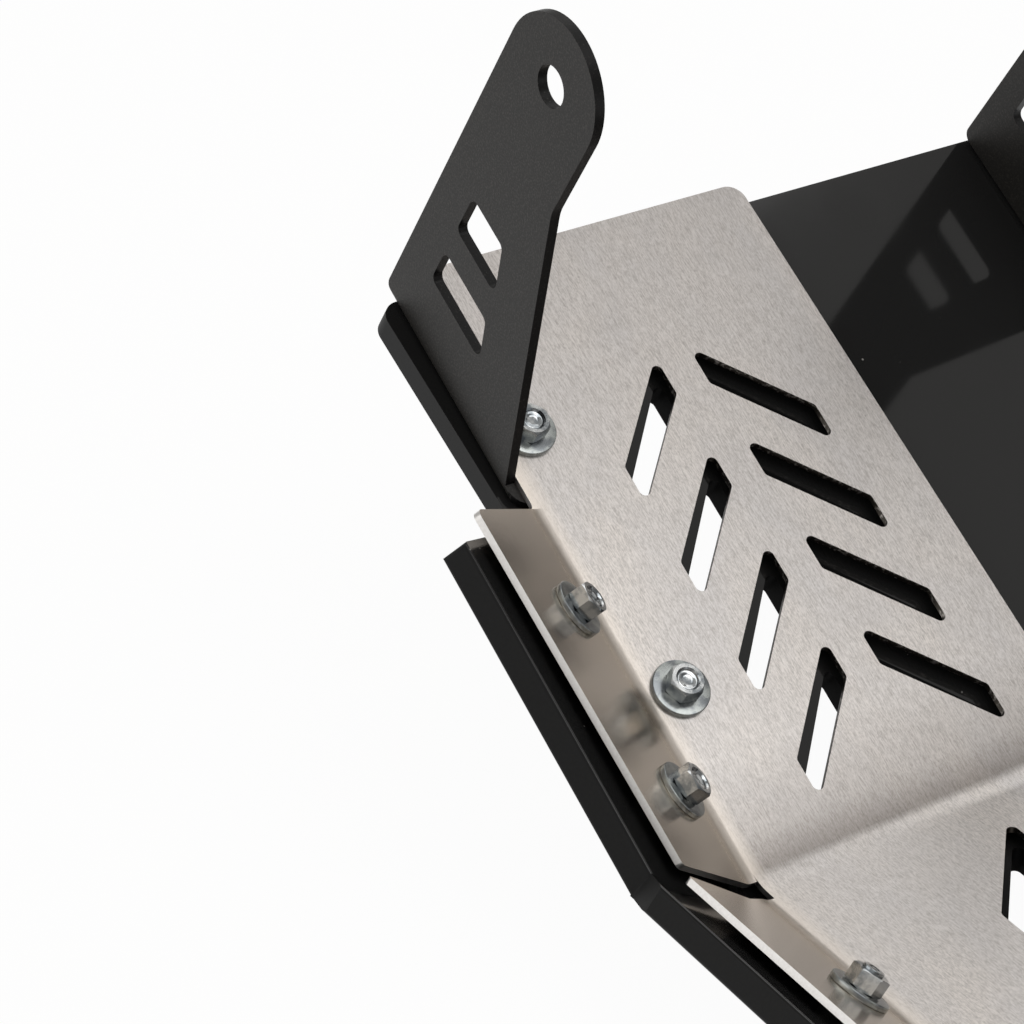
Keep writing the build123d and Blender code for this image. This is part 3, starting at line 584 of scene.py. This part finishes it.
@dataclass
class DressedSolid:
    """A CAD piece copied, merged and given rounded edges, a face finish and a cut-edge finish."""

    node: str
    face: bpy.types.Material
    cut: bpy.types.Material | None
    slot: str
    thickness: float = 0.0
    bevel: float = 0.3
    segments: int = 2
    end: tuple[Vector, Vector] | None = None
    slot_wall: bpy.types.Material | None = None
    slot_x: tuple[float, float] = (-74.0, 13.5)
    slot_y: tuple[float, float] = (-120.0, 300.0)

    def build(self) -> bpy.types.Object:
        """Copy the CAD node, sort its faces, bevel it and put it in the frame.

        Returns:
            The finished piece.
        """
        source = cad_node(self.node)
        mesh = bpy.data.meshes.new(self.node + "_surface")
        solid = bmesh.new()
        solid.from_mesh(source.data)
        bmesh.ops.remove_doubles(solid, verts=solid.verts, dist=MERGE_MM * MM)
        bmesh.ops.dissolve_limit(
            solid,
            angle_limit=math.radians(FLAT_DEGREES),
            verts=solid.verts,
            edges=solid.edges,
            delimit={"NORMAL"},
        )
        if self.cut is not None:
            self.sort_faces(solid)
        if self.end is not None:
            self.dimple_ends(solid, *self.end)
        for face in solid.faces:
            face.smooth = True
        solid.to_mesh(mesh)
        solid.free()
        piece = bpy.data.objects.new(self.node + "_dressed", mesh)
        bpy.context.scene.collection.objects.link(piece)
        mesh.materials.append(self.face)
        if self.cut is not None:
            mesh.materials.append(self.cut)
        if self.slot_wall is not None:
            mesh.materials.append(self.slot_wall)
        bevel = piece.modifiers.new("edge", "BEVEL")
        bevel.width = self.bevel * MM
        bevel.segments = self.segments
        bevel.limit_method = "ANGLE"
        bevel.angle_limit = math.radians(SHARP_DEGREES)
        bevel.harden_normals = False
        weigh = piece.modifiers.new("shade", "WEIGHTED_NORMAL")
        weigh.keep_sharp = False
        weigh.weight = 60
        bake_modifiers(piece)
        settle(piece, self.slot, self.node)
        return piece

    def sort_faces(self, solid: bmesh.types.BMesh) -> None:
        """Mark each face as main face or cut edge by the wall thickness behind it."""
        tree = BVHTree.FromBMesh(solid)
        reach = self.thickness * MM
        mains = set()
        for face in solid.faces:
            inside = face.calc_center_median() - face.normal * 0.02 * MM
            hit = tree.ray_cast(inside, -face.normal, reach * 1.5)
            face.material_index = Layer.CUT.value
            # A slot's wall is never a main face, though the land behind it is about as thick
            if self.in_slot(inside) and abs(face.normal.z) < STANDING_LIMIT:
                face.material_index = Layer.SLOT.value
            elif hit[0] is not None and abs(hit[3] - reach) < reach * THICKNESS_SHARE:
                mains.add(face)
        # The finish of the face runs half-way over a rounded edge
        limit = math.radians(NEIGHBOUR_DEGREES)
        rounded = {
            other
            for face in mains
            for edge in face.edges
            for other in edge.link_faces
            if other.normal.angle(face.normal, math.pi) < limit
        }
        for face in mains | rounded:
            face.material_index = Layer.FACE.value

    def in_slot(self, spot: Vector) -> bool:
        """Whether a spot lies in the field of slots, where the cut faces have their own finish."""
        across, along = spot.x / MM, spot.y / MM
        inside = self.slot_x[0] < across < self.slot_x[1] and self.slot_y[0] < along < self.slot_y[1]
        return self.slot_wall is not None and inside

    def dimple_ends(self, solid: bmesh.types.BMesh, point: Vector, up: Vector) -> None:
        """Cut the solid's ends at a plane and press a dimple into each.

        Args:
            solid: The mesh that is changed.
            point: A point of the plane.
            up: Direction in which the ends point.
        """
        cut = bmesh.ops.bisect_plane(
            solid,
            geom=solid.verts[:] + solid.edges[:] + solid.faces[:],
            plane_co=point,
            plane_no=up,
            clear_outer=True,
        )
        rims = [item for item in cut["geom_cut"] if isinstance(item, bmesh.types.BMEdge)]
        caps = bmesh.ops.holes_fill(solid, edges=rims, sides=0)["faces"]
        for width, depth in ((0.5, 0.0), (0.7, -0.3), (0.6, -0.2)):
            bmesh.ops.inset_individual(solid, faces=caps, thickness=width * MM, depth=depth * MM)


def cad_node(name: str) -> bpy.types.Object:
    """The CAD object of that name."""
    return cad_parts[name]


def bake_modifiers(piece: bpy.types.Object) -> None:
    """Turn a piece with modifiers into a plain mesh of the same shape."""
    bpy.context.view_layer.update()
    graph = bpy.context.evaluated_depsgraph_get()
    plain = bpy.data.meshes.new_from_object(piece.evaluated_get(graph), depsgraph=graph)
    piece.modifiers.clear()
    piece.data = plain


def settle(piece: bpy.types.Object, slot: str, *nodes: str) -> None:
    """Put a finished piece on the body and hide the CAD nodes that it replaces.

    Args:
        piece: The finished piece.
        slot: The record's material slot; not used.
        *nodes: CAD nodes that it replaces.
    """
    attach(piece, BODY)
    if nodes:
        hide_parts(*nodes)
    LOG.info("%s: %d faces", piece.name, len(piece.data.polygons))


@dataclass
class SeatTree:
    """A Geometry Nodes tree that repeats one fastener on every seat of a place."""

    name: str
    sizes: dict[str, float]
    material: bpy.types.Material
    shape: Callable[["SeatTree"], bpy.types.NodeSocket]
    tree: bpy.types.NodeTree = field(init=False)
    entry: bpy.types.Node = field(init=False)

    def make(self) -> bpy.types.NodeTree:
        """Build the tree: the fastener, instanced on the seats, realized and given its material.

        Returns:
            The finished tree.
        """
        self.tree = bpy.data.node_groups.new(self.name, "GeometryNodeTree")
        face = self.tree.interface
        face.new_socket("Geometry", in_out="INPUT", socket_type="NodeSocketGeometry")
        for size in self.sizes:
            face.new_socket(size, in_out="INPUT", socket_type="NodeSocketFloat")
        face.new_socket("Geometry", in_out="OUTPUT", socket_type="NodeSocketGeometry")
        self.entry = self.tree.nodes.new("NodeGroupInput")
        turn = self.add(
            "GeometryNodeInputNamedAttribute", {"data_type": "FLOAT_VECTOR"}, {"Name": "seat_turn"}
        )
        rotation = self.add("FunctionNodeEulerToRotation", links={0: turn.outputs["Attribute"]})
        copies = self.add(
            "GeometryNodeInstanceOnPoints",
            links={
                "Points": self.entry.outputs["Geometry"],
                "Instance": self.shape(self),
                "Rotation": rotation.outputs[0],
            },
        )
        real = self.add("GeometryNodeRealizeInstances", links={0: copies.outputs[0]})
        coated = self.add(
            "GeometryNodeSetMaterial", values={"Material": self.material}, links={0: real.outputs[0]}
        )
        leave = self.tree.nodes.new("NodeGroupOutput")
        self.tree.links.new(coated.outputs[0], leave.inputs[0])
        return self.tree

    def add(
        self,
        kind: str,
        settings: dict[str, object] | None = None,
        values: dict[str | int, object] | None = None,
        links: dict[str | int, bpy.types.NodeSocket] | None = None,
    ) -> bpy.types.Node:
        """Add a node to this tree."""
        return add_node(self.tree, kind, settings, values, links)

    def size(self, name: str) -> bpy.types.NodeSocket:
        """The tree's input of that name."""
        return self.entry.outputs[name]

    def calc(
        self,
        operation: str,
        first: bpy.types.NodeSocket,
        second: bpy.types.NodeSocket | float,
    ) -> bpy.types.NodeSocket:
        """Combine two sizes."""
        node = self.add("ShaderNodeMath", {"operation": operation}, links={0: first})
        if isinstance(second, float):
            node.inputs[1].default_value = second
        else:
            self.tree.links.new(second, node.inputs[1])
        return node.outputs[0]

    def lift(self, shape: bpy.types.NodeSocket, height: bpy.types.NodeSocket) -> bpy.types.NodeSocket:
        """Move a shape up by a height."""
        up = self.add("ShaderNodeCombineXYZ", links={2: height})
        moved = self.add("GeometryNodeTransform", links={"Geometry": shape, "Translation": up.outputs[0]})
        return moved.outputs[0]

    def ring(
        self,
        inner: bpy.types.NodeSocket,
        outer: bpy.types.NodeSocket,
        low: bpy.types.NodeSocket,
        height: bpy.types.NodeSocket,
        rounding: float,
        steps: int = 96,
    ) -> bpy.types.NodeSocket:
        """A ring of rounded rectangular section.

        Args:
            inner: Inner radius.
            outer: Outer radius.
            low: Height of its underside.
            height: Its thickness.
            rounding: Corner radius in metres.
            steps: Points round the circle.

        Returns:
            The ring's mesh.
        """
        middle = self.calc("MULTIPLY", self.calc("ADD", inner, outer), 0.5)
        width = self.calc("SUBTRACT", outer, inner)
        circle = self.add(
            "GeometryNodeCurvePrimitiveCircle", values={"Resolution": steps}, links={"Radius": middle}
        )
        section = self.add(
            "GeometryNodeCurvePrimitiveQuadrilateral", links={"Width": width, "Height": height}
        )
        soft = self.add(
            "GeometryNodeFilletCurve",
            {"mode": "POLY"},
            {"Radius": rounding, "Count": 3, "Limit Radius": True},
            {"Curve": section.outputs[0]},
        )
        swept = self.add(
            "GeometryNodeCurveToMesh", links={"Curve": circle.outputs[0], "Profile Curve": soft.outputs[0]}
        )
        return self.lift(swept.outputs[0], self.calc("ADD", low, self.calc("MULTIPLY", height, 0.5)))

    def cone(
        self,
        top: bpy.types.NodeSocket,
        bottom: bpy.types.NodeSocket,
        height: bpy.types.NodeSocket,
        steps: int,
    ) -> bpy.types.NodeSocket:
        """A cut cone that stands on the ground plane.

        Args:
            top: Radius at its top.
            bottom: Radius at its foot.
            height: Its height.
            steps: Points round the circle.

        Returns:
            The cone's mesh.
        """
        node = self.add(
            "GeometryNodeMeshCone",
            values={"Vertices": steps},
            links={"Radius Top": top, "Radius Bottom": bottom, "Depth": height},
        )
        return node.outputs[0]

    def smooth(self, shape: bpy.types.NodeSocket, limit: float) -> bpy.types.NodeSocket:
        """Shade a shape smooth where its faces meet under a limit in degrees."""
        angle = self.add("GeometryNodeInputMeshEdgeAngle")
        flat = self.add(
            "FunctionNodeCompare",
            {"data_type": "FLOAT", "operation": "LESS_THAN"},
            {1: math.radians(limit)},
            {0: angle.outputs[0]},
        )
        faces = self.add("GeometryNodeSetShadeSmooth", {"domain": "FACE"}, links={0: shape})
        edges = self.add(
            "GeometryNodeSetShadeSmooth",
            {"domain": "EDGE"},
            links={0: faces.outputs[0], "Shade Smooth": flat.outputs[0]},
        )
        return edges.outputs[0]


@dataclass
class Fasteners:
    """Washers, nuts, bolts and bolt threads, repeated on the seats of every place."""

    finish: ZincPlate
    spacer_finish: MattSpacer
    places: tuple[Place, ...]
    bolt_radius: float = 3.0
    washer_radius: float = 8.5
    washer_hole: float = 3.2
    washer_thickness: float = 1.6
    nut_flats: float = 9.3
    nut_height: float = 5.1
    nut_lead_in: float = 0.6
    nut_chamfer_degrees: float = 30.0
    nut_top_share: float = 0.85
    nut_foot_share: float = 0.87
    thread_clearance: float = 0.05
    thread_pitch: float = 0.6
    thread_ridge_share: float = 0.3

    def build(self) -> None:
        """Make every place's washers, nuts and threads, and dress its bolts and spacers."""
        bright = self.finish.face()
        dull = self.finish.pressed()
        spacer = self.spacer_finish.face()
        for place in self.places:
            self.repeat(place, "washers", place.face, self.washer_sizes(), self.washer_shape, dull)
            on_washer = place.face + self.washer_thickness
            self.repeat(place, "nuts", on_washer, self.nut_sizes(), self.nut_shape, bright)
            self.repeat(place, "threads", place.face, self.thread_sizes(), self.thread_shape, bright)
            nut_top = place.face + self.washer_thickness + self.nut_height
            end = place.panel.seat(0, 0, nut_top + place.proud)
            up = place.panel.turn @ Vector((0, 0, 1))
            DressedSolid(
                place.name + "_bolts",
                bright,
                None,
                self.finish.slot,
                bevel=0.2,
                segments=2,
                end=(end[0], up),
            ).build()
            if place.name + "_spacers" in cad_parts:
                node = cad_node(place.name + "_spacers")
                node.data.materials.clear()
                node.data.materials.append(spacer)
                LOG.info("%s keeps its CAD shape", node.name)

    def washer_sizes(self) -> dict[str, float]:
        """Sizes of a washer in metres."""
        return {
            "Hole": self.washer_hole * MM,
            "Radius": self.washer_radius * MM,
            "Thickness": self.washer_thickness * MM,
            "Base": 0.0,
        }

    def nut_sizes(self) -> dict[str, float]:
        """Sizes of a nut in metres."""
        return {
            "Hole": (self.bolt_radius + self.thread_clearance) * MM,
            "Corner": self.nut_flats / 2 / math.cos(math.radians(30)) * MM,
            "Height": self.nut_height * MM,
            "Lead In": self.nut_lead_in * MM,
        }

    def thread_sizes(self) -> dict[str, float]:
        """Sizes of the thread that shows in the mouth of a nut, in metres."""
        return {
            "Radius": (self.bolt_radius + self.thread_clearance) * MM,
            "Start": (self.washer_thickness + self.nut_height - self.nut_lead_in * 1.8) * MM,
            "Length": self.nut_lead_in * 1.2 * MM,
            "Pitch": self.thread_pitch * MM,
        }

    def washer_shape(self, seat: SeatTree) -> bpy.types.NodeSocket:
        """A flat ring with softly rounded edges."""
        ring = seat.ring(
            seat.size("Hole"), seat.size("Radius"), seat.size("Base"), seat.size("Thickness"), 0.3 * MM
        )
        return seat.smooth(ring, 50.0)

    def nut_shape(self, seat: SeatTree) -> bpy.types.NodeSocket:
        """A hexagon chamfered at both ends, bored for the bolt, with a countersunk mouth."""
        corner = seat.size("Corner")
        height = seat.size("Height")
        hole = seat.size("Hole")
        lead = seat.size("Lead In")
        block = seat.add(
            "GeometryNodeMeshCylinder", values={"Vertices": 6}, links={"Radius": corner, "Depth": height}
        )
        half = seat.calc("MULTIPLY", height, 0.5)
        drop = seat.calc("MULTIPLY", height, -0.5)
        # Each chamfer leaves a circle inside the flats and slopes away from it
        steep = seat.calc("MULTIPLY", height, math.tan(math.radians(90 - self.nut_chamfer_degrees)))
        small = seat.calc("MULTIPLY", corner, self.nut_top_share)
        foot = seat.calc("MULTIPLY", corner, self.nut_foot_share)
        chamfered = seat.add(
            "GeometryNodeMeshBoolean",
            {"operation": "INTERSECT", "solver": "EXACT"},
            links={"Mesh 2": block.outputs[0]},
        )
        for top, bottom in ((small, seat.calc("ADD", small, steep)), (seat.calc("ADD", foot, steep), foot)):
            cone = seat.cone(top, bottom, height, 72)
            seat.tree.links.new(seat.lift(cone, drop), chamfered.inputs["Mesh 2"])
        bore = seat.add(
            "GeometryNodeMeshCylinder",
            values={"Vertices": 48},
            links={"Radius": hole, "Depth": seat.calc("MULTIPLY", height, 2.0)},
        )
        mouth = seat.cone(
            seat.calc("ADD", hole, seat.calc("MULTIPLY", lead, 1.2)),
            seat.calc("SUBTRACT", hole, seat.calc("MULTIPLY", lead, 0.2)),
            seat.calc("MULTIPLY", lead, 1.4),
            48,
        )
        bored = seat.add(
            "GeometryNodeMeshBoolean",
            {"operation": "DIFFERENCE", "solver": "EXACT"},
            links={"Mesh 1": chamfered.outputs[0], "Mesh 2": bore.outputs[0]},
        )
        mouth_base = seat.calc("SUBTRACT", half, lead)
        seat.tree.links.new(seat.lift(mouth, mouth_base), bored.inputs["Mesh 2"])
        return seat.smooth(seat.lift(bored.outputs[0], half), 12.0)

    def thread_shape(self, seat: SeatTree) -> bpy.types.NodeSocket:
        """The helical ridge of the bolt's end in the mouth of the nut."""
        turns = seat.calc("DIVIDE", seat.size("Length"), seat.size("Pitch"))
        helix = seat.add(
            "GeometryNodeCurveSpiral",
            values={"Resolution": 36},
            links={
                "Rotations": turns,
                "Start Radius": seat.size("Radius"),
                "End Radius": seat.size("Radius"),
                "Height": seat.size("Length"),
            },
        )
        ridge = seat.add(
            "GeometryNodeCurvePrimitiveCircle",
            values={"Resolution": 4},
            links={"Radius": seat.calc("MULTIPLY", seat.size("Pitch"), self.thread_ridge_share)},
        )
        swept = seat.add(
            "GeometryNodeCurveToMesh",
            values={"Fill Caps": True},
            links={"Curve": helix.outputs[0], "Profile Curve": ridge.outputs[0]},
        )
        return seat.smooth(seat.lift(swept.outputs[0], seat.size("Start")), 30.0)

    def repeat(
        self,
        place: Place,
        kind: str,
        height: float,
        sizes: dict[str, float],
        shape: Callable[[SeatTree], bpy.types.NodeSocket],
        metal: bpy.types.Material,
    ) -> None:
        """Make one kind of fastener on all seats of a place.

        Args:
            place: The place with its seats.
            kind: Plain name of the fastener, which also names its CAD node.
            height: Height of its base above the panel's inner face in millimetres.
            sizes: Sizes for the tree's inputs in metres.
            shape: Method that draws one fastener in the tree.
            metal: Its material.
        """
        seats = [place.panel.seat(x, y, height, spin) for x, y, spin in place.spots]
        points = bpy.data.meshes.new(place.name + "_" + kind)
        points.from_pydata([tuple(spot) for spot, _ in seats], [], [])
        turns = points.attributes.new("seat_turn", "FLOAT_VECTOR", "POINT")
        for number, (_, turn) in enumerate(seats):
            turns.data[number].vector = tuple(turn)
        piece = bpy.data.objects.new(place.name + "_" + kind + "_dressed", points)
        bpy.context.scene.collection.objects.link(piece)
        tree = SeatTree(place.name + "_" + kind, sizes, metal, shape).make()
        modifier = piece.modifiers.new("seats", "NODES")
        modifier.node_group = tree
        for item in tree.interface.items_tree:
            if item.in_out == "INPUT" and item.name in sizes:
                modifier[item.identifier] = sizes[item.name]
        bake_modifiers(piece)
        node = place.name + "_" + kind
        settle(piece, self.finish.slot, *([node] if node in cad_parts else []))


@dataclass
class SkidPlate:
    """The whole part: shell, sheet, brackets and fasteners."""

    bend_angle: float = 30.0
    bend_y: float = 150.0
    stack: float = 13.0
    fold_x: float = 105.4
    fold_angle: float = 39.0
    sheet_thickness: float = 2.0
    shell_thickness: float = 8.0
    bracket_thickness: float = 3.0
    left_foot_x: float = -95.2
    right_foot_x: float = 94.7
    front_flange_x: float = -12.2
    floor_flange_x: float = -13.2
    front_panel_x: float = -94.2
    floor_side_x: float = 33.0
    first_floor_bolt_y: float = -54.9
    floor_bolt_pitch: float = 58.4
    floor_flange_bolts: int = 4
    floor_side_bolts: int = 3
    proud_end: float = 0.9

    def places(self) -> tuple[Place, ...]:
        """The places where pieces are bolted together, with each seat's X, Y and spin."""
        front = Panel.at_bend(self.bend_angle, self.bend_y, self.stack)
        floor = Panel.at_bend(0.0, self.bend_y, self.stack)
        front_flange = front.flange(self.fold_x, self.fold_angle)
        floor_flange = floor.flange(self.fold_x, self.fold_angle)
        foot = -self.sheet_thickness
        first = self.first_floor_bolt_y
        pitch = self.floor_bolt_pitch
        left, right = self.left_foot_x, self.right_foot_x
        flange_spots = tuple(
            (self.floor_flange_x, first - pitch * n, 8.0 + 13.0 * n) for n in range(self.floor_flange_bolts)
        )
        side_spots = tuple(
            (self.floor_side_x, first - pitch * 1.5 * n, 21.0 * n) for n in range(self.floor_side_bolts)
        )
        front_flange_spots = ((self.front_flange_x, 87.1, 17.0), (self.front_flange_x, 29.3, -24.0))
        return (
            Place("left_bracket", front, ((left, 145.3, 12.0), (left, 163.9, 40.0)), 0.0),
            Place("right_bracket", front, ((right, 127.0, 25.0), (right, 107.7, 5.0)), foot),
            Place("front_flange", front_flange, front_flange_spots, 0.0),
            Place("front_panel", front, ((self.front_panel_x, 58.2, -6.0),), 0.0),
            Place("floor_flange", floor_flange, flange_spots, 0.0, self.proud_end),
            Place("floor_side", floor, side_spots, 0.0),
        )

    def build(self) -> None:
        """Dress every piece in order."""
        plastic = GlossPlastic()
        metal = MillAluminium()
        coat = PowderCoat()
        DressedSolid(
            "skid_shell",
            plastic.face(),
            plastic.cut(),
            plastic.slot,
            self.shell_thickness,
            bevel=0.5,
            slot_wall=plastic.slot_wall(),
        ).build()
        DressedSolid(
            "inner_sheet",
            metal.face(),
            metal.cut(),
            metal.slot,
            self.sheet_thickness,
            bevel=0.25,
            slot_wall=metal.slot_wall(),
        ).build()
        coat_face = coat.face()
        coat_cut = coat.cut()
        for side in ("left_bracket", "right_bracket"):
            DressedSolid(side, coat_face, coat_cut, coat.slot, self.bracket_thickness, bevel=0.3).build()
        Fasteners(ZincPlate(), MattSpacer(), self.places()).build()


@dataclass
class Studio:
    """Camera, soft lamps and a white floor."""

    lens_mm: float = 112.158
    camera_place: tuple[float, float, float] = (-0.544664, -0.351179, 0.539095)
    camera_turn: tuple[float, float, float] = (58.06627, -2.087888, -34.106763)
    floor_size: float = 16.0
    world_strength: float = 0.47
    floor_glow_share: float = 0.96
    lamps: tuple[tuple[str, tuple[float, float, float], float, float, float], ...] = (
        ("overhead", (0.55, -0.75, 2.1), 1.5, 12.0, 0.0),
        ("right_front", (1.56, 1.17, 1.74), 1.6, 5.7, 0.0),
        ("left_side", (-1.6, 0.9, 1.0), 1.6, 6.0, 0.05),
    )
    aim_y: float = 0.1

    def build(self) -> None:
        """Set up the camera, the world, the lamps and the floor."""
        self.set_camera()
        self.set_world()
        for lamp in self.lamps:
            self.add_lamp(*lamp)
        self.add_floor()
        bpy.context.scene.view_settings.view_transform = "Standard"

    def set_camera(self) -> None:
        """Create the camera at the photograph's viewing angle."""
        data = bpy.data.cameras.new("camera")
        data.lens = self.lens_mm
        data.sensor_width = 36.0
        camera = bpy.data.objects.new("camera", data)
        camera.location = self.camera_place
        camera.rotation_euler = [math.radians(part) for part in self.camera_turn]
        bpy.context.scene.collection.objects.link(camera)
        bpy.context.scene.camera = camera

    def set_world(self) -> None:
        """Plain even light from all round."""
        world = bpy.data.worlds.new("studio")
        bpy.context.scene.world = world
        world.use_nodes = True
        back = world.node_tree.nodes["Background"]
        back.inputs["Color"].default_value = hex_colour("#FFFDFA")
        back.inputs["Strength"].default_value = self.world_strength

    def add_lamp(
        self, name: str, place: tuple[float, float, float], size: float, power: float, aim_height: float
    ) -> None:
        """Add a square soft lamp.

        Args:
            name: Plain name.
            place: Position in metres.
            size: Side in metres.
            power: Watts.
            aim_height: Height over the part's middle that it faces.
        """
        data = bpy.data.lights.new(name, "AREA")
        data.size = size
        data.energy = power
        lamp = bpy.data.objects.new(name, data)
        lamp.location = place
        aim = Vector((0.0, self.aim_y, aim_height)) - Vector(place)
        lamp.rotation_euler = aim.to_track_quat("-Z", "Y").to_euler()
        bpy.context.scene.collection.objects.link(lamp)

    def add_floor(self) -> None:
        """A white floor that stays white to the eye and keeps a soft shadow."""
        half = self.floor_size / 2
        mesh = bpy.data.meshes.new("studio_floor")
        corners = [(-half, -half, 0), (half, -half, 0), (half, half, 0), (-half, half, 0)]
        mesh.from_pydata(corners, [], [(0, 1, 2, 3)])
        floor = bpy.data.objects.new("studio_floor", mesh)
        bpy.context.scene.collection.objects.link(floor)
        mesh.materials.append(self.floor_material())

    def floor_material(self) -> bpy.types.Material:
        """Matt white paper, lifted to white where the eye, a reflection or glass sees it."""
        shader = Shader.create("white_paper_floor", "#F4F3F1", 0.0, 0.9, 1.45)
        tree = shader.tree
        path = add_node(tree, "ShaderNodeLightPath")
        seen = shader.maths(
            "MAXIMUM",
            path.outputs["Is Camera Ray"],
            shader.maths("MAXIMUM", path.outputs["Is Glossy Ray"], path.outputs["Is Transmission Ray"]),
        )
        glow = add_node(tree, "ShaderNodeEmission", values={"Color": (1, 1, 1, 1), "Strength": 1.0})
        share = shader.maths("MULTIPLY", seen, self.floor_glow_share)
        mixed = add_node(
            tree,
            "ShaderNodeMixShader",
            links={0: share, 1: shader.bsdf.outputs[0], 2: glow.outputs[0]},
        )
        tree.links.new(mixed.outputs[0], tree.nodes["Material Output"].inputs["Surface"])
        return shader.material


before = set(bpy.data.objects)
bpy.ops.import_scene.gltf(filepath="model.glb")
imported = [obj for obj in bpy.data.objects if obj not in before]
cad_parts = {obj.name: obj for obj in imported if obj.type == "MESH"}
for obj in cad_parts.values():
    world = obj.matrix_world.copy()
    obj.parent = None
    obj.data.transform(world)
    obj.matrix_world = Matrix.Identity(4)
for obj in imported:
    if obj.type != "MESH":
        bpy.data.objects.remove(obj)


def main() -> None:
    """Build the studio and the part, and report each piece."""
    logging.basicConfig(level=logging.INFO, format="%(name)s: %(message)s")
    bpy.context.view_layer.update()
    Studio().build()
    SkidPlate().build()


if __name__ == "__main__":
    main()
